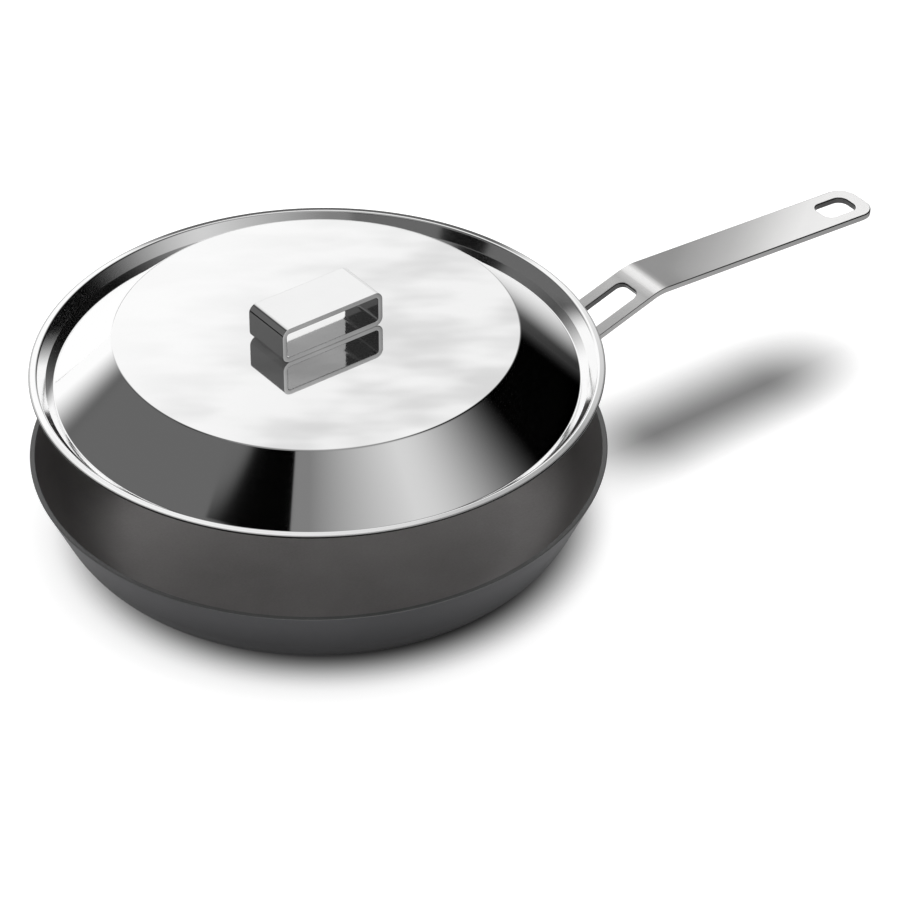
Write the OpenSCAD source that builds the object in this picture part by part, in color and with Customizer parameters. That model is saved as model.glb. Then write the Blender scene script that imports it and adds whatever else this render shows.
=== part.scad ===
// Carbon steel frying pan with a pressed steel lid, which is held up above its seat.
// The origin is the centre of the pan's underside. The handle runs along +X and +Z is up.

/* [Pan] */
// Radius of the outer edge of the rim
pan_rim_r = 140; // [110:1:170]
// Height of the rim above the underside
pan_height = 48; // [42:1:60]
// Radius at which the straight wall would meet the underside
pan_foot_r = 117.5; // [95:0.5:125]
// Radius of the outside round between the underside and the wall
pan_corner_r = 42; // [20:1:44]
// Thickness of the rolled carbon steel
pan_wall = 2.4; // [1.5:0.1:3]

/* [Lid] */
// Distance from the rim's outer edge in to the lid's edge
lid_margin = 1.9; // [0.5:0.1:2.4]
// Thickness of the lid's sheet
lid_sheet = 0.8; // [0.6:0.1:1]
// Width of the flat flange that rests on the pan's rim
flange_w = 3.7; // [3:0.1:6]
// Width of the folded hem under the flange's outer edge
hem_w = 3; // [2:0.1:3]
// Radius of the hem's edges
hem_edge_r = 0.6; // [0.2:0.1:0.6]
// Width of the steep outer side of the channel
channel_side_w = 4.2; // [3:0.1:6]
// Depth of the steep outer side of the channel
channel_side_h = 5.4; // [4:0.1:7]
// Width of the sloping floor of the channel
channel_floor_w = 4; // [2:0.1:6]
// Fall of the sloping floor of the channel towards the axis
channel_floor_h = 2.4; // [1:0.1:4]
// Width of the cone between the channel and the flat top
cone_w = 28.8; // [15:0.2:40]
// Height of the flat top above the flange
plateau_h = 19; // [10:0.5:30]
// Inside radius of the bends of the sheet
lid_bend_r = 0.8; // [0.3:0.1:1.5]
// Height of the raised lid above its seat on the rim
lid_lift = 45.3; // [20:0.1:80]

/* [Knob] */
// Length of the ring, along the handle's direction
knob_l = 58; // [40:1:80]
// Depth of the ring, from one open side to the other
knob_w = 28; // [15:1:40]
// Height of the ring above the lid's flat top
knob_h = 18.6; // [16:0.1:30]
// Thickness of the ring's wall
knob_wall = 2.6; // [1.5:0.1:3]
// Radius of the ring's outer corners
knob_corner_r = 4.2; // [3.5:0.1:6]

/* [Handle bar] */
// Thickness of the bar
bar_t = 3.4; // [3:0.1:5]
// Width of the bar
bar_w = 28; // [24:0.5:34]
// Distance of the handle's tip beyond the rim
handle_reach = 203.1; // [160:0.1:260]
// Distance of the bend between fork and grip beyond the rim
fork_reach = 60; // [56:1:75]
// Drop from the rim to where the bar's top face meets the wall
fork_drop = 1.8; // [1:0.1:4]
// Rise of the forked part, in degrees
fork_rise = 17; // [10:0.5:25]
// Fall of the grip towards its tip, in degrees
grip_fall = 3.3; // [0:0.1:8]
// Inside radius of the bend between fork and grip
grip_bend_r = 24; // [10:1:30]
// Inside radius of the bend between the foot and the fork
foot_bend_r = 6; // [3:0.5:8]
// Radius of the corners of the tip
tip_corner_r = 10; // [5:0.5:11]

/* [Handle openings] */
// Width of the slot between the fork's arms
slot_w = 14.6; // [10:0.2:18]
// Length of the slot
slot_l = 38; // [20:1:40]
// Distance from the slot's outer end to the bend
slot_margin = 8.8; // [6:0.1:12]
// Radius of the slot's corners
slot_corner_r = 4.2; // [2:0.1:5]
// Length of the hanging hole
hole_l = 20.2; // [12:0.2:30]
// Width of the hanging hole
hole_w = 14.2; // [9:0.2:16]
// Radius of the hanging hole's corners
hole_corner_r = 5; // [2:0.1:6]
// Width of the bar left between the hanging hole and the tip
hole_margin = 7.4; // [6:0.1:14]

/* [Handle foot] */
// Width of the foot that lies on the pan's wall
foot_w = 41; // [38:0.5:50]
// Height of the foot's lower edge above the underside
foot_low_z = 15.5; // [14:0.5:17]
// Distance from the rim down to the foot's shoulders
foot_top_drop = 7; // [6:0.5:8]
// Radius of the foot's corners
foot_corner_r = 9; // [4:0.5:11]
// Radius of the hollow corners between the foot and the bar
foot_neck_r = 4; // [2:0.5:5]

/* [Rivets] */
// Radius of the rivets' shanks
rivet_r = 2.5; // [2:0.1:3]
// Radius of the rivets' heads
rivet_head_r = 4.6; // [4:0.1:5]
// Height of the rivets' heads
rivet_head_h = 1.8; // [1.2:0.1:2.2]
// Distance between the axes of the two upper rivets
rivet_spacing = 25; // [22:0.5:28]
// Distance from the foot's shoulders down to the upper rivets' axes
rivet_upper_drop = 6.8; // [6:0.1:8]
// Height of the lower rivet's axis above the foot's lower edge
rivet_lower_rise = 7.6; // [6.5:0.1:8.5]

/* [Hidden] */

$fn = 180;
rivet_fn = 100; // for the small rivets
right_angle = 90;
overrun = 2; // how far a cut runs past the face that it leaves
seat_gap = 0.05; // play between pieces that are riveted tight
hole_gap = 0.05; // play around a rivet's shank
arc_steps = 8; // flats in a quarter turn of a bent sheet

// The pan's side view. Its wall leans out by pan_lean from upright, and the round
// between underside and wall starts at base_flat_r. The inside's round ends at inside_end_z.
pan_lean = atan((pan_rim_r - pan_foot_r) / pan_height);
corner_run = pan_corner_r * tan((right_angle - pan_lean) / 2);
base_flat_r = pan_foot_r - corner_run;
inside_corner_r = pan_corner_r - pan_wall;
inside_end_z = pan_corner_r - inside_corner_r * sin(pan_lean);

// The radius of the straight wall's outer line at a height, which runs on below the
// round, and the radius of the bowl's inside.
function line_r(z) = pan_foot_r + z * tan(pan_lean);
function inside_r(z) = z > inside_end_z
    ? line_r(z) - pan_wall / cos(pan_lean)
    : base_flat_r + sqrt(inside_corner_r ^ 2 - (pan_corner_r - z) ^ 2);

// The lid's places.
flange_z = pan_height + lid_lift + 2 * lid_sheet;
plateau_z = flange_z + plateau_h;
lid_r = pan_rim_r - lid_margin;
channel_r = lid_r - flange_w;
cone_r = channel_r - channel_side_w - channel_floor_w;

// The handle's side view, as the line of its top face: up the wall, out along the fork and
// along the grip to the tip.
tip_x = pan_rim_r + handle_reach;
bend_x = pan_rim_r + fork_reach;
fork_z = pan_height - fork_drop;
fork_x = line_r(fork_z);
bend_z = fork_z + (bend_x - fork_x) * tan(fork_rise);
tip_z = bend_z - (tip_x - bend_x) * tan(grip_fall);
slot_end_x = bend_x - slot_margin;
hole_end_x = tip_x - hole_margin;
foot_top_z = pan_height - foot_top_drop;
rivet_places = [
    [-rivet_spacing / 2, foot_top_z - rivet_upper_drop],
    [rivet_spacing / 2, foot_top_z - rivet_upper_drop],
    [0, foot_low_z + rivet_lower_rise],
];

// A sheet or bar of even thickness along a line of corners, each rounded concentrically on
// both faces. The line is the left face, looking along it, and the thickness lies on its right.
function unit(v) = v / norm(v);
function left_of(v) = [-v[1], v[0]];
function turn_at(line, i) = cross(line[i] - line[i - 1], line[i + 1] - line[i]);
function moved(line, by) = [for (i = [0 : len(line) - 1])
    i == 0 ? line[0] + by * left_of(unit(line[1] - line[0]))
    : i == len(line) - 1 ? line[i] + by * left_of(unit(line[i] - line[i - 1]))
    : let (a = left_of(unit(line[i] - line[i - 1])), b = left_of(unit(line[i + 1] - line[i])))
        line[i] + by * (a + b) / (1 + a * b)];
function rounded(line, radii) = [for (i = [0 : len(line) - 1])
    if (i == 0 || i == len(line) - 1) line[i]
    else let (
        a = unit(line[i - 1] - line[i]),
        b = unit(line[i + 1] - line[i]),
        half = acos(a * b) / 2,
        centre = line[i] + unit(a + b) * radii[i] / sin(half),
        from = line[i] + a * radii[i] / tan(half) - centre,
        sweep = sign(turn_at(line, i)) * (2 * right_angle - 2 * half),
        steps = max(2, ceil(abs(sweep) / right_angle * arc_steps)))
        each [for (k = [0 : steps]) let (t = sweep * k / steps)
            centre + [from[0] * cos(t) - from[1] * sin(t), from[0] * sin(t) + from[1] * cos(t)]]];
function face_radii(line, inside, thick, side) = [for (i = [0 : len(line) - 1])
    i == 0 || i == len(line) - 1 ? 0
    : inside[i] + (turn_at(line, i) * side < 0 ? thick : 0)];

module bent_strip(line, thick, inside) {
    left = rounded(line, face_radii(line, inside, thick, 1));
    right = rounded(moved(line, -thick), face_radii(line, inside, thick, -1));
    polygon(concat(right, [for (i = [len(left) - 1 : -1 : 0]) left[i]]));
}

module rounded_rectangle(size_x, size_y, corner_r) {
    square([size_x - 2 * corner_r, size_y], center = true);
    square([size_x, size_y - 2 * corner_r], center = true);
    for (sx = [-1, 1])
        for (sy = [-1, 1])
            translate([sx * (size_x / 2 - corner_r), sy * (size_y / 2 - corner_r)])
                circle(r = corner_r);
}

// Half of the filled outline of the pan's side view up to a height, grown outward by a
// distance, which is negative for the inside of the bowl.
module bowl_half(grow, top) {
    wall_top = pan_foot_r + top * tan(pan_lean) + grow / cos(pan_lean);
    corner_end = [base_flat_r, pan_corner_r]
        + (pan_corner_r + grow) * [cos(pan_lean), -sin(pan_lean)];
    intersection() {
        union() {
            translate([base_flat_r, pan_corner_r])
                circle(r = pan_corner_r + grow);
            polygon([[0, -grow], [base_flat_r, -grow], corner_end, [wall_top, top], [0, top]]);
        }
        translate([0, -grow])
            square([wall_top + overrun, top + grow]);
    }
}

// Stands a child, which is drawn with +Z as the wall's outward direction, on the straight
// wall's outer line at a height and a distance across.
module on_wall(across, z) {
    translate([line_r(z), across, z])
        rotate([0, right_angle + pan_lean, 0])
            children();
}

module rivet_holes() {
    for (place = rivet_places)
        on_wall(place[0], place[1])
            cylinder(r = rivet_r + hole_gap, h = 2 * foot_w, center = true);
}

module pan_body() {
    color([0.28, 0.29, 0.31])
    difference() {
        rotate_extrude()
            difference() {
                bowl_half(0, pan_height);
                bowl_half(-pan_wall, pan_height + overrun);
            }
        rivet_holes();
    }
}

// The bar seen from above, from the pan's rim to its tip, with its slot and hanging hole.
module bar_plan() {
    difference() {
        union() {
            translate([0, -bar_w / 2])
                square([tip_x - tip_corner_r, bar_w]);
            translate([tip_x - tip_corner_r - bar_w / 2, 0])
                rounded_rectangle(bar_w + 2 * tip_corner_r, bar_w, tip_corner_r);
        }
        translate([slot_end_x - slot_l / 2, 0])
            rounded_rectangle(slot_l, slot_w, slot_corner_r);
        translate([hole_end_x - hole_l / 2, 0])
            rounded_rectangle(hole_l, hole_w, hole_corner_r);
    }
}

// The foot seen along the handle: a pad with round corners under the neck of the bar, and
// hollow corners where the two meet.
module foot_face() {
    difference() {
        union() {
            translate([0, (foot_top_z + foot_low_z) / 2])
                rounded_rectangle(foot_w, foot_top_z - foot_low_z, foot_corner_r);
            translate([-bar_w / 2 - foot_neck_r, foot_top_z - foot_corner_r])
                square([bar_w + 2 * foot_neck_r, foot_corner_r + foot_neck_r]);
            translate([-bar_w / 2, foot_top_z])
                square([bar_w, bend_z]);
        }
        for (side = [-1, 1])
            translate([side * (bar_w / 2 + foot_neck_r), foot_top_z + foot_neck_r])
                circle(r = foot_neck_r);
    }
}

// The bar's own side view. The foot is left thick towards the pan, whose wall is then cut
// out of it, so that the foot fits the wall's curve.
module handle_side() {
    low_x = pan_foot_r - overrun * tan(pan_lean);
    outside = [[low_x, -overrun], [fork_x, fork_z], [bend_x, bend_z], [tip_x, tip_z]];
    bent_strip(outside, bar_t, [0, foot_bend_r, grip_bend_r, 0]);
    polygon([
        [low_x + bar_t / 2, -overrun],
        [line_r(foot_top_z) + bar_t / 2, foot_top_z],
        [line_r(foot_top_z) - foot_w / 2, foot_top_z],
        [low_x - foot_w / 2, -overrun],
    ]);
}

module pan_handle() {
    color([0.62, 0.62, 0.63])
    difference() {
        intersection() {
            rotate([right_angle, 0, 0])
                linear_extrude(height = foot_w + overrun, center = true)
                    handle_side();
            union() {
                linear_extrude(height = 2 * bend_z)
                    intersection() {
                        bar_plan();
                        translate([pan_rim_r + bar_t, -foot_w / 2])
                            square([handle_reach, foot_w]);
                    }
                rotate([right_angle, 0, right_angle])
                    linear_extrude(height = pan_rim_r + bar_t + overrun)
                        foot_face();
            }
        }
        rotate_extrude()
            bowl_half(seat_gap, 2 * pan_height);
        rivet_holes();
    }
}

module rivet_head(height) {
    cap_r = (rivet_head_r ^ 2 + height ^ 2) / (2 * height);
    intersection() {
        translate([0, 0, height - cap_r])
            sphere(r = cap_r);
        cylinder(r = rivet_head_r, h = height);
    }
}

module handle_rivets() {
    $fn = rivet_fn;
    head_span = rivet_head_r + rivet_head_h;
    color([0.7, 0.7, 0.71])
    for (place = rivet_places) {
        inner_face = -(line_r(place[1]) - inside_r(place[1])) * cos(pan_lean);
        on_wall(place[0], place[1]) {
            translate([0, 0, inner_face - rivet_head_h / 2])
                cylinder(r = rivet_r, h = rivet_head_h / 2 - inner_face + bar_t + seat_gap);
            translate([0, 0, bar_t + seat_gap])
                rivet_head(rivet_head_h);
        }
        intersection() {
            on_wall(place[0], place[1])
                translate([0, 0, inner_face])
                    mirror([0, 0, 1])
                        rivet_head(rivet_head_h);
            // A cone that just clears the wall's inside above and below the head.
            translate([0, 0, place[1] - head_span])
                cylinder(
                    r1 = inside_r(place[1] - head_span) - seat_gap,
                    r2 = inside_r(place[1] + head_span) - seat_gap,
                    h = 2 * head_span);
        }
    }
}

module lid_shell() {
    top_line = [
        [0, plateau_z],
        [cone_r - cone_w, plateau_z],
        [cone_r, flange_z - channel_side_h - channel_floor_h],
        [channel_r - channel_side_w, flange_z - channel_side_h],
        [channel_r, flange_z],
        [lid_r - hem_w / 2, flange_z],
    ];
    bends = [0, lid_bend_r, lid_bend_r, lid_bend_r, lid_bend_r, 0];
    color([0.85, 0.85, 0.86])
    rotate_extrude() {
        bent_strip(top_line, lid_sheet, bends);
        // The hem is folded back flat under the flange's edge.
        translate([lid_r - hem_w / 2, flange_z - lid_sheet])
            rounded_rectangle(hem_w, 2 * lid_sheet, hem_edge_r);
    }
}

module lid_knob() {
    color([0.8, 0.8, 0.81])
    translate([0, 0, plateau_z + knob_h / 2])
        rotate([right_angle, 0, 0])
            linear_extrude(height = knob_w, center = true)
                difference() {
                    rounded_rectangle(knob_l, knob_h, knob_corner_r);
                    rounded_rectangle(knob_l - 2 * knob_wall, knob_h - 2 * knob_wall,
                        knob_corner_r - knob_wall);
                }
}

pan_body();
pan_handle();
handle_rivets();
lid_shell();
lid_knob();
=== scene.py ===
import math

import bmesh
import bpy
from mathutils import Matrix, Vector


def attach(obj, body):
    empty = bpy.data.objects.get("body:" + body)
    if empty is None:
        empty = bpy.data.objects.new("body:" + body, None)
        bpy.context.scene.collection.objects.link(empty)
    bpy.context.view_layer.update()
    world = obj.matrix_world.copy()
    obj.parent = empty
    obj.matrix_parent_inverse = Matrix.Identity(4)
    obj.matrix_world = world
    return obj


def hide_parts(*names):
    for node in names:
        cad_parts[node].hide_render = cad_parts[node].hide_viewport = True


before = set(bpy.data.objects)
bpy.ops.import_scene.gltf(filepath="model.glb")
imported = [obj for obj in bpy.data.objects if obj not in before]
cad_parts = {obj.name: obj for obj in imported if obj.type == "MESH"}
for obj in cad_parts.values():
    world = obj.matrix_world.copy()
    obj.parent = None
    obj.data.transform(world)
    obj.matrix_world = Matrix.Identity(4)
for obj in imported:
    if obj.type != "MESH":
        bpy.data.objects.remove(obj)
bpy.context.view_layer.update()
scene = bpy.context.scene
print("frame loaded with", len(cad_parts), "nodes")


# Helpers for meshes, which are drawn in millimetres and scaled when they are done.
sharpAngle = 1  # radians between two faces, over which their edge stays sharp
samePlace = 0.001
sameLevel = 0.01


def finishPiece(bm, name, body, node, materials, pickMaterial=None):
    bmesh.ops.recalc_face_normals(bm, faces=bm.faces)
    for face in bm.faces:
        face.smooth = True
        if pickMaterial:
            face.material_index = pickMaterial(face)
    for edge in bm.edges:
        edge.smooth = edge.calc_face_angle(0) < sharpAngle
    bmesh.ops.scale(bm, vec=(0.001, 0.001, 0.001), verts=bm.verts)
    mesh = bpy.data.meshes.new(name)
    bm.to_mesh(mesh)
    bm.free()
    for material in materials:
        mesh.materials.append(material)
    piece = bpy.data.objects.new(name, mesh)
    scene.collection.objects.link(piece)
    even = piece.modifiers.new("even shading", "WEIGHTED_NORMAL")
    even.weight = 100  # flats stay flat up to the bends
    even.keep_sharp = True
    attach(piece, body)
    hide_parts(node)
    print("made", name, "with", len(mesh.polygons), "faces")
    return piece


def startLine(bm, x, z):
    return bmesh.ops.create_vert(bm, co=(x, 0, z))["vert"][0]


def lineTo(bm, last, x, z):
    end = bmesh.ops.extrude_vert_indiv(bm, verts=[last])["verts"][0]
    end.co = (x, 0, z)
    return end


def arcAround(bm, last, centre, degrees, steps):  # anticlockwise in a side view with X to the right
    made = bmesh.ops.spin(bm, geom=[last], cent=(centre[0], 0, centre[1]), axis=(0, -1, 0),
                          angle=math.radians(degrees), steps=steps)
    return [part for part in made["geom_last"] if isinstance(part, bmesh.types.BMVert)][0]


def roundCorner(bm, vert, radius, segments):
    first, second = [edge.other_vert(vert).co - vert.co for edge in vert.link_edges]
    reach = radius / math.tan(first.angle(second) / 2)
    bmesh.ops.bevel(bm, geom=[vert], offset=reach, offset_type="OFFSET", affect="VERTICES",
                    segments=segments, profile=0.5, material=-1)


def closedLine(bm, points):  # each point is across, up, radius of its bend
    verts = [bmesh.ops.create_vert(bm, co=(x, 0, z))["vert"][0] for x, z, bend in points]
    for here, there in zip(verts, verts[1:] + verts[:1]):
        bm.edges.new((here, there))
    return verts


def turnRound(bm, segments):
    bmesh.ops.spin(bm, geom=bm.verts[:] + bm.edges[:], cent=(0, 0, 0), axis=(0, 0, 1),
                   angle=math.tau, steps=segments, use_merge=True)
    bmesh.ops.remove_doubles(bm, verts=bm.verts, dist=samePlace)


# Helpers for materials.
class Wire:  # a shader socket that can stand in a Python sum
    def __init__(self, tree, socket=None):
        self.tree = tree
        self.socket = socket

    def node(self, kind, sockets=None, out=0, stops=None, **settings):
        made = self.tree.nodes.new(kind)
        for name, value in settings.items():
            setattr(made, name, value)
        if stops:
            ramp = made.color_ramp.elements
            while len(ramp) < len(stops):
                ramp.new(1)
            for element, (place, tone) in zip(ramp, stops):
                element.position = place
                element.color = tone if isinstance(tone, tuple) else (tone, tone, tone, 1)
        for name, value in (sockets or {}).items():
            if isinstance(value, Wire):
                self.tree.links.new(value.socket, made.inputs[name])
            else:
                made.inputs[name].default_value = value
        return Wire(self.tree, made.outputs[out] if made.outputs else None)

    def maths(self, operation, *values):
        return self.node("ShaderNodeMath", dict(enumerate(values)), operation=operation)

    def __add__(self, other):
        return self.maths("ADD", self, other)

    def __sub__(self, other):
        return self.maths("SUBTRACT", self, other)

    def __rsub__(self, other):
        return self.maths("SUBTRACT", other, self)

    def __mul__(self, other):
        return self.maths("MULTIPLY", self, other)

    def __truediv__(self, other):
        return self.maths("DIVIDE", self, other)

    def __rtruediv__(self, other):
        return self.maths("DIVIDE", other, self)

    __radd__ = __add__
    __rmul__ = __mul__

    def smooth(self, low, high):  # 0 at low and 1 at high, which may lie below low
        return self.node("ShaderNodeMapRange", {0: self, 1: low, 2: high}, interpolation_type="SMOOTHSTEP")

    def spread(self, low, high, to0, to1):
        return self.node("ShaderNodeMapRange", {0: self, 1: low, 2: high, 3: to0, 4: to1})

    def noise(self, vector, scale, detail=3, roughness=0.5):
        return self.node("ShaderNodeTexNoise", {"Vector": vector, "Scale": scale, "Detail": detail,
                                                "Roughness": roughness})

    def tint(self, amount, first, second):
        return self.node("ShaderNodeMix", {0: amount, 6: first, 7: second}, out=2, data_type="RGBA")


def newMaterial(name):
    material = bpy.data.materials.new(name)
    material.use_nodes = True
    material.node_tree.nodes.clear()
    return material, Wire(material.node_tree)


def grey(value, warm=0.0):
    return (value * (1 + warm), value, value * (1 - warm), 1)


def roundCoordinates(wire, along, around):  # fine lines that run round the axis, with no seam
    place = wire.node("ShaderNodeTexCoord", out="Object")
    x, y, z = [wire.node("ShaderNodeSeparateXYZ", {0: place}, out=axis) for axis in "XYZ"]
    radius = wire.maths("SQRT", x * x + y * y + 1e-9)
    return wire.node("ShaderNodeCombineXYZ", {0: (radius + z) * along, 1: x / radius * around,
                                              2: y / radius * around})


# Inside and outside are one steel. The inside is painted lighter, as painted light for the light that the
# lid's shade takes away; its warm tint is the seasoning.
panSteel = {"outside": (0.068, 0.068, 0.072, 1), "inside": (0.272, 0.262, 0.26, 1), "rim": grey(0.17),
            "foot": 0.3, "footRise": (0.004, 0.04), "roughness": 0.4, "grain": 0.06, "grainSize": 900,
            "blotchSize": 14}
# fold and hem are tones of painted shade on the flange's outer band and edge.
# reflectionGrey, leastReflection and the streak values paint a grey reflection in streaks on the lid's flat
# top.
lidSteel = {"tone": 0.98, "roughness": 0.035, "channel": 0.1, "fold": 0.55, "hem": 0.012,
            "reflectionGrey": 0.7, "streakLong": 18, "streakShort": 42, "streakUp": 20, "turn": 36, "leastReflection": 0.32,
            "streaks": (0.34, 0.68), "clear": 0.12, "clearRun": (-0.09, 0.045), "topRise": (0.1132, 0.1136)}
# edge, slot and bevel are tones of painted shade on the bar's sides, slot walls and broken edges.
handleSteel = {"tone": 0.72, "edge": 0.42, "slot": 0.11, "bevel": 0.04, "roughness": 0.2, "brush": 0.05,
               "slant": 1.25, "slantRise": (0.205, 0.225)}
# Places along the bar, each with the tone of its painted light: a painted highlight on the bend, painted
# shade after it, lighter towards the tip.
barPaintedLight = [(0.14, 0.66), (0.176, 0.73), (0.188, 0.82), (0.192, 0.74), (0.196, 0.98), (0.2, 1),
            (0.2035, 0.39), (0.2055, 0.31), (0.212, 0.315), (0.218, 0.335), (0.224, 0.37), (0.24, 0.445),
            (0.256, 0.535), (0.272, 0.665), (0.288, 0.82), (0.304, 0.95), (0.324, 1), (0.348, 1)]
brushed = {"bar": (12, 900, 900), "edge": (40, 40, 900), "bevel": (40, 900, 900), "rivet": (400, 400, 400)}
# end and ceiling are tones of painted shade inside the knob's ring.
knobSteel = {"tone": 0.9, "end": 0.62, "ceiling": 0.4, "roughness": 0.05}


# foot sets how dark the painted shade at the pan's foot gets
def makePanSteel(name, colour, foot=1):
    material, wire = newMaterial(name)
    place = wire.node("ShaderNodeTexCoord", out="Object")
    grain = wire.noise(place, panSteel["grainSize"], 4, 0.6)
    blotch = wire.noise(place, panSteel["blotchSize"], 4, 0.55)
    lines = wire.noise(roundCoordinates(wire, 900, 5), 1, 2, 0.5)
    tone = blotch.spread(0.3, 0.7, 0.85, 1.15) * grain.spread(0.25, 0.75, 0.92, 1.08)
    high = wire.node("ShaderNodeSeparateXYZ", {0: place}, out="Z")
    tone = tone * high.spread(*panSteel["footRise"], foot, 1)  # painted shade: darker towards the foot, for the contact shadow
    dark = tuple(0.45 * part for part in colour[:3]) + (1,)
    light = tuple(1.3 * part for part in colour[:3]) + (1,)
    shader = wire.node("ShaderNodeBsdfPrincipled", {
        "Base Color": wire.tint(tone.spread(0.4, 1.3, 0, 1), dark, light),
        "Metallic": 0.9,
        "Roughness": panSteel["roughness"] + 0.08 * blotch + 0.06 * grain,
        "Normal": wire.node("ShaderNodeBump", {"Strength": panSteel["grain"], "Distance": 0.0004,
                                               "Height": grain * 0.6 + lines * 0.4}),
    })
    wire.node("ShaderNodeOutputMaterial", {"Surface": shader})
    return material


def makeLidSteel(name, tone, roughness):
    material, wire = newMaterial(name)
    place = wire.node("ShaderNodeTexCoord", out="Object")
    x, y, z = [wire.node("ShaderNodeSeparateXYZ", {0: place}, out=axis) for axis in "XYZ"]
    turned = wire.node("ShaderNodeVectorRotate", {"Vector": place, "Angle": math.radians(lidSteel["turn"])},
                       rotation_type="Z_AXIS")
    long = (lidSteel["streakLong"], lidSteel["streakShort"], lidSteel["streakUp"])
    drawn = wire.node("ShaderNodeVectorMath", {0: turned, 1: long}, operation="MULTIPLY")
    # Painted reflection: grey streaks, fading out across the top along a slant.
    streak = wire.noise(drawn, 1, 2, 0.5)
    mottleAndReflection = lidSteel["leastReflection"] + (1 - lidSteel["leastReflection"]) * streak.smooth(*lidSteel["streaks"])
    mottleAndReflection = mottleAndReflection * (0.45 * x - 0.9 * y).smooth(*lidSteel["clearRun"]).spread(0, 1, lidSteel["clear"], 1)
    mottleAndReflection = mottleAndReflection * z.smooth(*lidSteel["topRise"])  # painted reflection in grey streaks on the flat top, none on the cone
    lines = wire.noise(roundCoordinates(wire, 500, 3), 1, 2, 0.5)
    shader = wire.node("ShaderNodeBsdfPrincipled", {
        "Base Color": wire.tint(mottleAndReflection, grey(tone), grey(tone * lidSteel["reflectionGrey"])),
        "Metallic": 1,
        "Roughness": roughness + 0.02 * lines,
    })
    wire.node("ShaderNodeOutputMaterial", {"Surface": shader})
    return material


def makeBrushedSteel(name, tone, stretch, along=None):  # stretch gives the brushed lines on each axis
    material, wire = newMaterial(name)
    place = wire.node("ShaderNodeTexCoord", out="Object")
    drawn = wire.node("ShaderNodeVectorMath", {0: place, 1: stretch}, operation="MULTIPLY")
    brush = wire.noise(drawn, 1, 3, 0.6)
    blotch = wire.noise(place, 30, 3, 0.5)
    colour = wire.tint(brush * 0.6 + blotch * 0.4, grey(tone * 0.92, 0.005), grey(tone * 1.04, 0.005))
    if along:  # painted light: the bar gets brighter or darker along its length, and slantwise on its grip
        x, y = [wire.node("ShaderNodeSeparateXYZ", {0: place}, out=axis) for axis in "XY"]
        low, high = along[0][0], along[-1][0]
        spot = x - handleSteel["slant"] * y * x.smooth(*handleSteel["slantRise"])
        paintedLight = wire.node("ShaderNodeValToRGB", {0: spot.spread(low, high, 0, 1)},
                         stops=[((at - low) / (high - low), level) for at, level in along])
        colour = wire.node("ShaderNodeMix", {0: 1, 6: colour, 7: paintedLight}, out=2, data_type="RGBA",
                           blend_type="MULTIPLY")
    shader = wire.node("ShaderNodeBsdfPrincipled", {
        "Base Color": colour,
        "Metallic": 1,
        "Roughness": handleSteel["roughness"] + 0.06 * brush,
        "Normal": wire.node("ShaderNodeBump", {"Strength": handleSteel["brush"], "Distance": 0.0002,
                                               "Height": brush}),
    })
    wire.node("ShaderNodeOutputMaterial", {"Surface": shader})
    return material


def makeKnobSteel(name, tone):
    material, wire = newMaterial(name)
    place = wire.node("ShaderNodeTexCoord", out="Object")
    mottleAndReflection = wire.noise(place, 60, 3, 0.5)
    shader = wire.node("ShaderNodeBsdfPrincipled", {
        "Base Color": wire.tint(mottleAndReflection, grey(tone * 0.96), grey(tone)),
        "Metallic": 1,
        "Roughness": knobSteel["roughness"] + 0.03 * mottleAndReflection,
    })
    wire.node("ShaderNodeOutputMaterial", {"Surface": shader})
    return material


outsideSteel = makePanSteel("blued carbon steel outside", panSteel["outside"], panSteel["foot"])
# painted lighter than the outside, as painted light
insideLightenedSteel = makePanSteel("seasoned carbon steel inside painted lighter", panSteel["inside"])
rimSteel = makePanSteel("cut rim steel", panSteel["rim"])
# the mirror steel carries a painted reflection in streaks on the flat top
mirrorSteel = makeLidSteel("mirror polished lid steel", lidSteel["tone"], lidSteel["roughness"])
channelSteel = makeLidSteel("pressed channel steel", lidSteel["tone"], lidSteel["channel"])
# The fold and the hem are the mirror steel painted darker, as painted shade.
foldShadeSteel = makeLidSteel("folded rim painted shade", lidSteel["fold"], lidSteel["channel"])
# painted light along the bar: a highlight on the bend, shade after it
barSteel = makeBrushedSteel("satin handle steel", 1, brushed["bar"], barPaintedLight)
# The bar's sides, slot walls and broken edges are its steel painted darker, as painted shade.
sideShadeSteel = makeBrushedSteel("cut edge steel painted shade", handleSteel["edge"], brushed["edge"])
slotShadeSteel = makeBrushedSteel("slot wall painted shade", handleSteel["slot"], brushed["edge"])
bevelShadeSteel = makeBrushedSteel("broken edge painted shade", handleSteel["bevel"], brushed["bevel"])
rivetSteel = makeBrushedSteel("satin rivet steel", handleSteel["tone"], brushed["rivet"])
hemShadowSteel = makeBrushedSteel("hem edge painted shadow", lidSteel["hem"], brushed["edge"])
ringSteel = makeKnobSteel("polished knob steel", knobSteel["tone"])
# Painted shade: the ring's inner ends and ceiling are the ring's steel painted darker.
endShadeSteel = makeKnobSteel("inner end painted shade", knobSteel["end"])
ceilingShadeSteel = makeKnobSteel("inner ceiling painted shade", knobSteel["ceiling"])
print("materials made")


# The bowl is one turned wall of even thickness.
pan = {"rimR": 140, "height": 48, "footR": 117.5, "cornerR": 42, "wall": 2.4, "rimEdge": 0.45, "rimSteps": 4,
       "roundSteps": 24, "segments": 288, "seat": 0.05}
lean = math.atan((pan["rimR"] - pan["footR"]) / pan["height"])
turn = math.degrees(math.pi / 2 - lean)
flatR = pan["footR"] - pan["cornerR"] * math.tan((math.pi / 2 - lean) / 2)
roundTop = pan["cornerR"] * (1 - math.sin(lean))


def lineR(z):
    return pan["footR"] + z * math.tan(lean)


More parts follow.
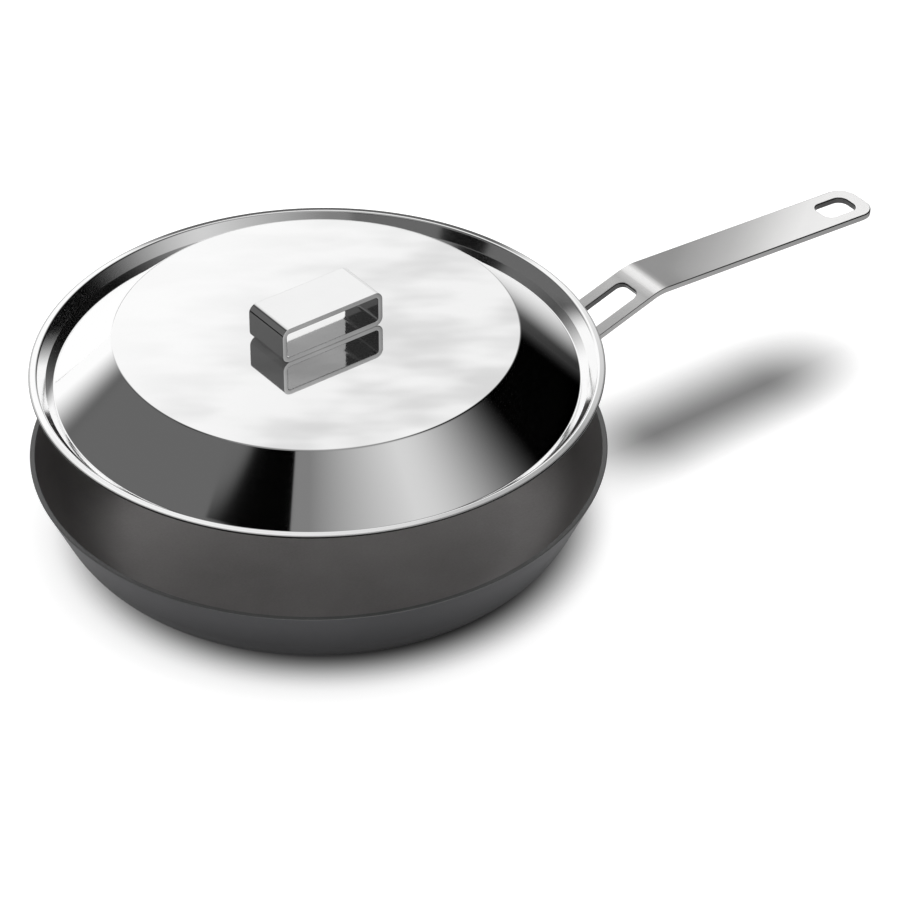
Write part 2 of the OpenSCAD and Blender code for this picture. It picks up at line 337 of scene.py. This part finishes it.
def outsideR(z):  # radius of the pan's outside at a height
    if z > roundTop:
        return lineR(z)
    return flatR + math.sqrt(max(pan["cornerR"] ** 2 - (pan["cornerR"] - z) ** 2, 0))


bm = bmesh.new()
centre = (flatR, pan["cornerR"])
wallR = pan["wall"] / math.cos(lean)
axisLow = startLine(bm, 0, 0)
last = lineTo(bm, axisLow, flatR * 0.5, 0)
last = lineTo(bm, last, flatR, 0)
last = arcAround(bm, last, centre, turn, pan["roundSteps"])
rimOut = lineTo(bm, last, pan["rimR"], pan["height"])
rimIn = lineTo(bm, rimOut, pan["rimR"] - wallR, pan["height"])
innerR = pan["cornerR"] - pan["wall"]
last = lineTo(bm, rimIn, flatR + innerR * math.cos(lean), pan["cornerR"] - innerR * math.sin(lean))
last = arcAround(bm, last, centre, -turn, pan["roundSteps"])
last = lineTo(bm, last, flatR * 0.5, pan["wall"])
lineTo(bm, last, 0, pan["wall"])
roundCorner(bm, rimOut, pan["rimEdge"], pan["rimSteps"])
roundCorner(bm, rimIn, pan["rimEdge"], pan["rimSteps"])
turnRound(bm, pan["segments"])


def panFinish(face):  # outside, inside or rim
    if face.calc_center_median().z > pan["height"] - pan["rimEdge"]:
        return 2
    return 1 if face.normal.z > 0 else 0


panSteels = [outsideSteel, insideLightenedSteel, rimSteel]
finishPiece(bm, "panBowl", "pan", "pan_body", panSteels, panFinish)


# The handle is a flat blank with a slot, a hole and a foot, bent like the real bar.
bar = {"thick": 3.4, "width": 28, "forkX": 200, "forkDrop": 1.8, "rise": 17, "fall": 3.3, "tipX": 343.1,
       "footBend": 6, "gripBend": 24, "bendSteps": 12, "tipR": 10, "edge": 0.7, "cornerSteps": 8,
       "footW": 41, "footLow": 15.5, "footTop": 41, "footR": 9, "footSteps": 13, "neckR": 4,
       "shoulder": 18.4, "shoulderR": 1.5, "sideShare": 0.72, "sideR": 4,
       "slotFrom": 153.2, "slotTo": 191.2, "slotW": 14.6, "slotR": 4.2,
       "holeFrom": 315.5, "holeTo": 335.7, "holeW": 14.2, "holeR": 5}
forkZ = pan["height"] - bar["forkDrop"]
corners = [Vector((lineR(bar["footLow"]), bar["footLow"])), Vector((lineR(forkZ), forkZ))]
rise = math.radians(bar["rise"])
fall = math.radians(bar["fall"])
corners.append(Vector((bar["forkX"], forkZ + (bar["forkX"] - corners[1].x) * math.tan(rise))))
corners.append(Vector((bar["tipX"], corners[2].y - (bar["tipX"] - bar["forkX"]) * math.tan(fall))))
headings = [math.pi / 2 - lean, rise, -fall]
radii = [bar["footBend"] + bar["thick"], bar["gripBend"] + bar["thick"]]  # on the top face
turns = [before - after for before, after in zip(headings, headings[1:])]
trims = [radius * math.tan(angle / 2) for radius, angle in zip(radii, turns)]

# The blank's length along the top face is a straight, a bend, a straight, a bend and a straight.
runs = []
for i, heading in enumerate(headings):
    straight = (corners[i + 1] - corners[i]).length
    straight -= (trims[i - 1] if i else 0) + (trims[i] if i < len(trims) else 0)
    start = corners[i] + Vector((math.cos(heading), math.sin(heading))) * (trims[i - 1] if i else 0)
    runs.append(("straight", straight, start, heading))
    if i < len(trims):
        runs.append(("bend", radii[i] * turns[i], None, heading))


def alongAt(x):  # distance along the blank of a place beyond the rim
    total = 0
    for kind, length, start, heading in runs:
        if kind == "straight" and heading < 1:
            if x <= start.x + length * math.cos(heading) or heading < 0:
                return total + (x - start.x) / math.cos(heading)
        total += length


def bentPlace(along, deep):  # where a point of the blank lies in the side view
    for i, (kind, length, start, heading) in enumerate(runs):
        if along <= length or i == len(runs) - 1:
            break
        along -= length
    if kind == "straight":
        ahead = Vector((math.cos(heading), math.sin(heading)))
        down = Vector((ahead.y, -ahead.x))
        return start + ahead * along + down * deep
    before = runs[i - 1]
    ahead = Vector((math.cos(heading), math.sin(heading)))
    radius = radii[i // 2]
    middle = before[2] + ahead * before[1] + Vector((ahead.y, -ahead.x)) * radius
    angle = heading - along / radius
    return middle + Vector((-math.sin(angle), math.cos(angle))) * (radius - deep)


barLength = sum(run[1] for run in runs)
footLength = (bar["footTop"] - bar["footLow"]) / math.cos(lean)
bendsAt = [sum(run[1] for run in runs[:count]) for count in (1, 2, 3, 4)]


def blankLoop(bm, points):  # each point is along, across, radius of its corner
    verts = [bmesh.ops.create_vert(bm, co=(along, across, 0))["vert"][0] for along, across, bend in points]
    for here, there in zip(verts, verts[1:] + verts[:1]):
        bm.edges.new((here, there))
    for vert, (along, across, bend) in zip(verts, points):
        if bend:
            roundCorner(bm, vert, bend, bar["cornerSteps"])


def slotLoop(bm, low, high, width, radius):
    half = width / 2
    blankLoop(bm, [(low, -half, radius), (high, -half, radius), (high, half, radius), (low, half, radius)])


half = bar["width"] / 2
footHalf = bar["footW"] / 2
outline = [(0, -footHalf, bar["footR"]), (footLength * bar["sideShare"], -footHalf, bar["sideR"]),
           (footLength, -bar["shoulder"], bar["shoulderR"]), (footLength, -half, bar["neckR"]),
           (barLength, -half, bar["tipR"])]
outline += [(along, -across, bend) for along, across, bend in reversed(outline)]
bm = bmesh.new()
blankLoop(bm, outline)
slotLoop(bm, alongAt(bar["slotFrom"]), alongAt(bar["slotTo"]), bar["slotW"], bar["slotR"])
slotLoop(bm, alongAt(bar["holeFrom"]), alongAt(bar["holeTo"]), bar["holeW"], bar["holeR"])
bmesh.ops.triangle_fill(bm, use_beauty=True, use_dissolve=True, edges=bm.edges[:], normal=(0, 0, 1))
raised = bmesh.ops.extrude_face_region(bm, geom=bm.faces[:], use_keep_orig=True)
bottom = [part for part in raised["geom"] if isinstance(part, bmesh.types.BMVert)]
bmesh.ops.translate(bm, vec=(0, 0, -bar["thick"]), verts=bottom)
bmesh.ops.recalc_face_normals(bm, faces=bm.faces)


def isOuterEdge(edge):  # an edge between a broad face and a side wall, off the foot's seat on the pan
    if len(edge.link_faces) != 2 or edge.calc_face_angle() < sharpAngle:
        return False
    level = abs(edge.verts[0].co.z - edge.verts[1].co.z) < sameLevel
    onTop = edge.verts[0].co.z > -bar["thick"] / 2
    onSeat = onTop and max(vert.co.x for vert in edge.verts) < footLength + bar["neckR"] + bar["edge"]
    return level and not onSeat


bmesh.ops.bevel(bm, geom=[edge for edge in bm.edges if isOuterEdge(edge)], offset=bar["edge"],
                offset_type="OFFSET", affect="EDGES", segments=3, profile=0.5, material=-1)


def barFinish(face):  # broad face, outer edge, broken edge, or wall of the slot or hole; all but the broad face are painted darker as shade
    middle = face.calc_center_median()
    if abs(face.normal.z) > 0.3:
        return 0 if abs(face.normal.z) > 0.95 else 2
    inSlot = abs(middle.y) < half - bar["edge"] and footLength < middle.x < barLength - bar["holeR"]
    return 3 if inSlot else 1


for face in bm.faces:
    face.material_index = barFinish(face)


def cutAcross(bm, place, normal):
    bmesh.ops.bisect_plane(bm, geom=bm.verts[:] + bm.edges[:] + bm.faces[:], dist=samePlace / 10,
                           plane_co=place, plane_no=normal)


for begin, end in (bendsAt[0:2], bendsAt[2:4]):
    for step in range(bar["bendSteps"] + 1):
        cutAcross(bm, (begin + (end - begin) * step / bar["bendSteps"], 0, 0), (1, 0, 0))
for step in range(1, bar["footSteps"] + 1):
    cutAcross(bm, (footLength * step / bar["footSteps"], 0, 0), (1, 0, 0))

for vert in bm.verts:
    along, across, deep = vert.co.x, vert.co.y, -vert.co.z
    place = bentPlace(along, deep)
    if deep < samePlace and along < bendsAt[0] + samePlace:  # the foot's seat follows the pan's round wall
        seat = outsideR(place.y) + pan["seat"]
        place.x = math.sqrt(seat ** 2 - across ** 2)
    vert.co = (place.x, across, place.y)
finishPiece(bm, "handleBar", "pan", "pan_handle", [barSteel, sideShadeSteel, bevelShadeSteel, slotShadeSteel])


# The rivets have turned heads on both sides of the wall.
rivet = {"shankR": 2.5, "headR": 4.6, "headH": 1.8, "sunk": 0.35, "steps": 10, "segments": 40,
         "places": [(-12.5, 34.2), (12.5, 34.2), (0, 23.1)]}
capR = (rivet["headR"] ** 2 + rivet["headH"] ** 2) / (2 * rivet["headH"])
capAngle = math.degrees(math.asin(rivet["headR"] / capR))


def addRivet(bm, across, z):
    single = bmesh.new()
    high = bar["thick"] + pan["seat"]
    sag = (across ** 2 / (2 * lineR(z))) * math.cos(lean)
    low = -pan["wall"] - sag - (lineR(z) - outsideR(z)) * math.cos(lean) + rivet["sunk"]
    last = startLine(single, 0, high + rivet["headH"])
    last = arcAround(single, last, (0, high + rivet["headH"] - capR), -capAngle, rivet["steps"])
    last = lineTo(single, last, rivet["shankR"], high)
    last = lineTo(single, last, rivet["shankR"], low)
    last = lineTo(single, last, rivet["headR"], low)
    arcAround(single, last, (0, low - rivet["headH"] + capR), -capAngle, rivet["steps"])
    turnRound(single, rivet["segments"])
    bmesh.ops.recalc_face_normals(single, faces=single.faces)
    stand = Matrix.Translation((lineR(z), across, z)) @ Matrix.Rotation(math.pi / 2 + lean, 4, "Y")
    bmesh.ops.transform(single, matrix=stand, verts=single.verts)
    shared = bpy.data.meshes.new("rivet")
    single.to_mesh(shared)
    single.free()
    bm.from_mesh(shared)
    bpy.data.meshes.remove(shared)


bm = bmesh.new()
for across, z in rivet["places"]:
    addRivet(bm, across, z)
finishPiece(bm, "rivetSet", "pan", "handle_rivets", [rivetSteel])


# The lid is a turned sheet: a crown of flat top and cone, and a rim of channel and hemmed flange.
lid = {"flangeZ": 94.9, "edgeR": 138.1, "flangeW": 3.7, "sideW": 4.2, "sideH": 5.4, "floorW": 4,
       "floorH": 2.4, "coneW": 28.8, "splitShare": 0.0625, "topH": 19, "sheet": 0.8, "bend": 0.8,
       "bendSteps": 8, "hem": 3, "hemBend": 0.35, "edgeBend": 0.4, "foldW": 0.85, "fall": 0.6,
       "segments": 360}
flangeR = lid["edgeR"] - lid["flangeW"]
sideR = flangeR - lid["sideW"]
sideZ = lid["flangeZ"] - lid["sideH"]
channelR = sideR - lid["floorW"]
channelZ = sideZ - lid["floorH"]
topR = channelR - lid["coneW"]
topZ = lid["flangeZ"] + lid["topH"]
splitR = channelR - lid["coneW"] * lid["splitShare"]  # the crown and the rim part low on the cone
splitZ = channelZ + (topZ - channelZ) * lid["splitShare"]
sheetLine = [(0, topZ), (topR, topZ), (splitR, splitZ), (channelR, channelZ), (sideR, sideZ),
             (flangeR, lid["flangeZ"]), (lid["edgeR"], lid["flangeZ"])]
sheetTurns = [0, 1, 0, -1, -1, 1, 0]  # 1 where the sheet bends down


def sunkLine(points, depth):  # the sheet's underside, an even depth below its top
    sunk = []
    for i, point in enumerate(points):
        sides = [(Vector(points[j + 1]) - Vector(points[j])).normalized()
                 for j in (i - 1, i) if 0 <= j < len(points) - 1]
        normals = [Vector((side.y, -side.x)) for side in sides]
        both = sum(normals, Vector((0, 0)))
        sunk.append(Vector(point) + both * depth * len(normals) / both.length_squared)
    return sunk


def sheetFace(points, outside):  # each place with its bend's radius, larger where the face is outside it
    return [(x, z, (lid["bend"] + (lid["sheet"] if bend == outside else 0)) if bend else 0)
            for (x, z), bend in zip(points, sheetTurns)]


over = sheetFace(sheetLine, 1)
under = sheetFace(sunkLine(sheetLine, lid["sheet"]), -1)
foldR = lid["edgeR"] - lid["foldW"]
edgeZ = lid["flangeZ"] - lid["fall"]  # the flange's top falls to its edge
hemR = lid["edgeR"] - lid["hem"]
hemZ = lid["flangeZ"] - 2 * lid["sheet"]
hem = [(foldR, lid["flangeZ"] - lid["fall"] * (foldR - flangeR) / lid["flangeW"], 0),
       (lid["edgeR"], edgeZ, lid["edgeBend"]), (lid["edgeR"], hemZ, lid["edgeBend"]),
       (hemR, hemZ, lid["hemBend"]), (hemR, lid["flangeZ"] - lid["sheet"], 0)]


def sheetFinish(face):  # mirror, channel's wall, fold painted darker as shade, or the hem's edge painted black as a shadow line
    middle = face.calc_center_median()
    away = middle.xy.length
    if away > lid["edgeR"] - lid["edgeBend"] * 0.75 and middle.z < edgeZ - lid["edgeBend"] * 0.25:
        return 3
    if away > foldR and middle.z > hemZ + lid["edgeBend"] / 2:
        return 2
    return 1 if channelR < away < flangeR else 0


def turnSheet(name, outline):
    bm = bmesh.new()
    verts = closedLine(bm, outline)
    if outline[0][0] == 0:
        bm.edges.remove(bm.edges.get((verts[-1], verts[0])))  # no wall along the axis
    for vert, (x, z, bend) in zip(verts, outline):
        if bend:
            roundCorner(bm, vert, bend, lid["bendSteps"])
    turnRound(bm, lid["segments"])
    steels = [mirrorSteel, channelSteel, foldShadeSteel, hemShadowSteel]
    return finishPiece(bm, name, "lid", "lid_shell", steels, sheetFinish)


turnSheet("lidCrown", over[:3] + under[2::-1])
lidRim = turnSheet("lidRim", over[2:6] + hem + under[5:1:-1])
lidRim.visible_glossy = False  # as in the photograph, the channel isn't mirrored in the cone beside it


# The knob is a ring of rectangular tube that stands on the lid.
knob = {"length": 58, "width": 28, "height": 18.6, "wall": 2.6, "cornerR": 4.2, "cornerSteps": 10,
        "edge": 0.35}
bm = bmesh.new()
for inset, radius in ((0, knob["cornerR"]), (knob["wall"], knob["cornerR"] - knob["wall"])):
    far = knob["length"] / 2 - inset
    low = topZ + inset
    high = topZ + knob["height"] - inset
    for vert in closedLine(bm, [(-far, low, radius), (far, low, radius), (far, high, radius),
                                (-far, high, radius)]):
        roundCorner(bm, vert, radius, knob["cornerSteps"])
bmesh.ops.bridge_loops(bm, edges=bm.edges[:])
bmesh.ops.translate(bm, vec=(0, -knob["width"] / 2, 0), verts=bm.verts)
pulled = bmesh.ops.extrude_face_region(bm, geom=bm.faces[:], use_keep_orig=True)
bmesh.ops.translate(bm, vec=(0, knob["width"], 0),
                    verts=[part for part in pulled["geom"] if isinstance(part, bmesh.types.BMVert)])
bmesh.ops.recalc_face_normals(bm, faces=bm.faces)
rims = [edge for edge in bm.edges if edge.calc_face_angle(0) > sharpAngle
        and abs(edge.verts[0].co.y - edge.verts[1].co.y) < sameLevel]
bmesh.ops.bevel(bm, geom=rims, offset=knob["edge"], offset_type="OFFSET", affect="EDGES", segments=2,
                profile=0.5, material=-1)


def knobFinish(face):  # inside, the ends and the ceiling are painted darker than the floor, as painted shade
    middle = face.calc_center_median()
    reach = (knob["length"] - knob["wall"]) / 2
    tall = (knob["height"] - knob["wall"]) / 2
    inside = abs(middle.x) < reach and abs(middle.z - topZ - knob["height"] / 2) < tall
    if not inside or abs(face.normal.y) > 0.5 or face.normal.z > 0.5:
        return 0
    return 2 if face.normal.z < -0.5 else 1


finishPiece(bm, "knobRing", "lid", "lid_knob", [ringSteel, endShadeSteel, ceilingShadeSteel], knobFinish)


# The studio has a floor, its surroundings and a camera. A pair is where a soft edge starts and ends.
def between(value, rising, falling):  # 1 between two soft edges
    return value.smooth(*rising) * value.smooth(*falling)


floorLook = {"radius": 30, "tone": 0.93, "glow": 0.09, "whiteness": 0.45, "fadeFrom": 0.1, "fadeOver": 0.38,
             "brightRun": (14, 47), "backRun": (-0.45, -0.25)}
# Painted shadows in the floor's colour: the handle's shadow, and a contact shadow round the pan's foot on top
# of the real one.
handleShadow = {"start": (0.11, 0.18), "end": (0.338, 0.248), "y": -0.042, "slant": 0.015,
                "across": (0.055, -0.004), "depth": 0.84}
contactShadow = {"x": 0.0073, "y": 0.0014, "edge": (0.106, 0.14)}

material, wire = newMaterial("white studio floor")
mirrored = wire.node("ShaderNodeLightPath", out="Is Glossy Ray")
seen = wire.node("ShaderNodeLightPath", out="Is Camera Ray")
place = wire.node("ShaderNodeTexCoord", out="Object")
x, y = [wire.node("ShaderNodeSeparateXYZ", {0: place}, out=axis) for axis in "XY"]
away = wire.maths("MAXIMUM", x - floorLook["fadeFrom"], 0) / floorLook["fadeOver"]
wayOut = (wire.maths("ARCTAN2", y, x) * math.degrees(1)).spread(*floorLook["brightRun"], 0, 1)
mirrorTone = wire.maths("MAXIMUM", 1 / (1 + away * away), wayOut * wayOut)
mirrorTone = mirrorTone * x.smooth(*floorLook["backRun"])  # metal sees the floor fade out on both sides
# painted shadow of the handle on the floor
offLine = wire.maths("ABSOLUTE", y - handleShadow["slant"] * x - handleShadow["y"])
handleShadowMask = between(x, handleShadow["start"], handleShadow["end"]) * offLine.smooth(*handleShadow["across"])
tone = mirrored * mirrorTone + (1 - mirrored) * (1 - handleShadow["depth"] * handleShadowMask)
# painted contact shadow round the pan
across, along = x - contactShadow["x"], y - contactShadow["y"]
tone = tone * wire.maths("SQRT", across * across + along * along).smooth(*contactShadow["edge"])
glowTone = tone * (floorLook["glow"] + seen * (floorLook["whiteness"] - floorLook["glow"]))
diffuse = wire.node("ShaderNodeBsdfDiffuse", {"Color": wire.tint(tone * floorLook["tone"], grey(0), grey(1))})
glow = wire.node("ShaderNodeEmission", {"Color": wire.tint(glowTone, grey(0), grey(1))})
wire.node("ShaderNodeOutputMaterial", {"Surface": wire.node("ShaderNodeAddShader", {0: diffuse, 1: glow})})
bm = bmesh.new()
bmesh.ops.create_circle(bm, cap_ends=True, segments=96, radius=floorLook["radius"])
mesh = bpy.data.meshes.new("floor")
bm.to_mesh(mesh)
bm.free()
mesh.materials.append(material)
floor = bpy.data.objects.new("floor", mesh)
scene.collection.objects.link(floor)

# Metal mirrors panels that stand all round, placed by their azimuth and height in degrees.
studio = {"fill": 1.0, "overhead": 0.35, "overheadRise": (62, 74), "corner": (218.3, 219.6),
          "leftWall": 0.13, "leftRise": (88, 116), "frontTone": (0.21, 0.66), "frontRun": (229, 286),
          "frontEnd": (350, 280), "frontSlant": 0.6, "frontMiddle": 40}
softPanel = {"tone": 1.09, "rise": (14, 47), "end": (114, 88), "endSlant": 0.45, "endMiddle": 12,
             "upper": (35.5, 41.5), "upperRun": (45, 66), "upperTone": (0.63, 0.8), "dip": 0.07,
             "dipRise": (72, 80)}
lowFlag = {"depth": 0.89, "sides": ((45, 48), (88, 78)), "heights": ((6, 9), (21.5, 17.5)), "slant": 0.25,
           "middle": 58}
leftFlags = [{"sides": ((158, 159.5), (180, 178.5)), "heights": ((26, 27), (38, 37))},
             {"sides": ((117.5, 119.5), (136, 134)), "heights": ((51, 53), (64, 62))}]
slantFlag = {"side": (175.5, 178), "slantSide": (177, 179.6), "slant": 3.1, "middle": 50, "straightFrom": 57,
             "low": (44.5, 47.5)}

world = bpy.data.worlds.new("studio")
scene.world = world
world.use_nodes = True
world.node_tree.nodes.clear()
wire = Wire(world.node_tree)
ray = wire.node("ShaderNodeTexCoord", out="Generated")
x, y, z = [wire.node("ShaderNodeSeparateXYZ", {0: ray}, out=axis) for axis in "XYZ"]
azimuth = wire.maths("ARCTAN2", y, x) * math.degrees(1)
azimuth = wire.maths("WRAP", azimuth, 355, -5)
height = wire.maths("ARCSINE", z) * math.degrees(1)

lowTop = height + lowFlag["slant"] * (azimuth - lowFlag["middle"])
lowBand = between(azimuth, *lowFlag["sides"]) * height.smooth(*lowFlag["heights"][0])
lowBand = lowBand * lowTop.smooth(*lowFlag["heights"][1])
highTone = azimuth.spread(*softPanel["upperRun"], *softPanel["upperTone"])
highTone = highTone - softPanel["dip"] * azimuth.smooth(*softPanel["dipRise"])
softBox = (1 - lowFlag["depth"] * lowBand) * (1 - height.smooth(*softPanel["upper"]) * (1 - highTone))
softEdge = azimuth.spread(*softPanel["rise"], 0, 1)
softBox = softPanel["tone"] * softBox * softEdge * softEdge
softEnd = azimuth + softPanel["endSlant"] * (height - softPanel["endMiddle"])
softBox = softBox * softEnd.smooth(*softPanel["end"])

offWall = azimuth.smooth(*reversed(studio["corner"]))  # 1 up to the corner where the front panel starts
leftWall = studio["leftWall"] * azimuth.smooth(*studio["leftRise"]) * offWall
slantSide = wire.maths("MINIMUM", height, slantFlag["straightFrom"]) - slantFlag["middle"]
slantSide = azimuth - slantFlag["slant"] * slantSide
flag = slantSide.smooth(*slantFlag["slantSide"]) * azimuth.smooth(*slantFlag["side"])
leftWall = leftWall * (1 - flag * offWall * height.smooth(*slantFlag["low"]))
for edges in leftFlags:
    leftWall = leftWall * (1 - between(azimuth, *edges["sides"]) * between(height, *edges["heights"]))

frontPanel = azimuth.spread(*studio["frontRun"], *studio["frontTone"]) * azimuth.smooth(*studio["corner"])
frontEnd = azimuth - studio["frontSlant"] * (height - studio["frontMiddle"])
frontPanel = frontPanel * frontEnd.smooth(*studio["frontEnd"])
around = softBox + leftWall + frontPanel
overhead = height.smooth(*studio["overheadRise"])
around = around * (1 - overhead) + studio["overhead"] * overhead
isGlossy = wire.node("ShaderNodeLightPath", out="Is Glossy Ray")
isCamera = wire.node("ShaderNodeLightPath", out="Is Camera Ray")
isThrough = wire.node("ShaderNodeLightPath", out="Is Transmission Ray")
level = wire.tint(isGlossy, grey(studio["fill"]), wire.tint(around, grey(0), grey(1)))
level = wire.tint(wire.maths("MAXIMUM", isCamera, isThrough), level, grey(1))
background = wire.node("ShaderNodeBackground", {"Color": level, "Strength": 1})
wire.node("ShaderNodeOutputWorld", {"Surface": background})

view = {"eye": (-1.10636, -1.60977, 1.44857), "right": (0.803908, -0.594744, -0.003238),
        "up": (0.349517, 0.468020, 0.811662), "ahead": (0.481214, 0.653634, -0.584119), "lens": 198.5}
lens = bpy.data.cameras.new("camera")
lens.lens = view["lens"]
lens.sensor_width = 36
lens.clip_end = 100
camera = bpy.data.objects.new("camera", lens)
scene.collection.objects.link(camera)
turned = Matrix((view["right"], view["up"], [-part for part in view["ahead"]])).transposed()
camera.matrix_world = Matrix.Translation(view["eye"]) @ turned.to_4x4()
scene.camera = camera
scene.view_settings.view_transform = "Standard"
print("studio made")
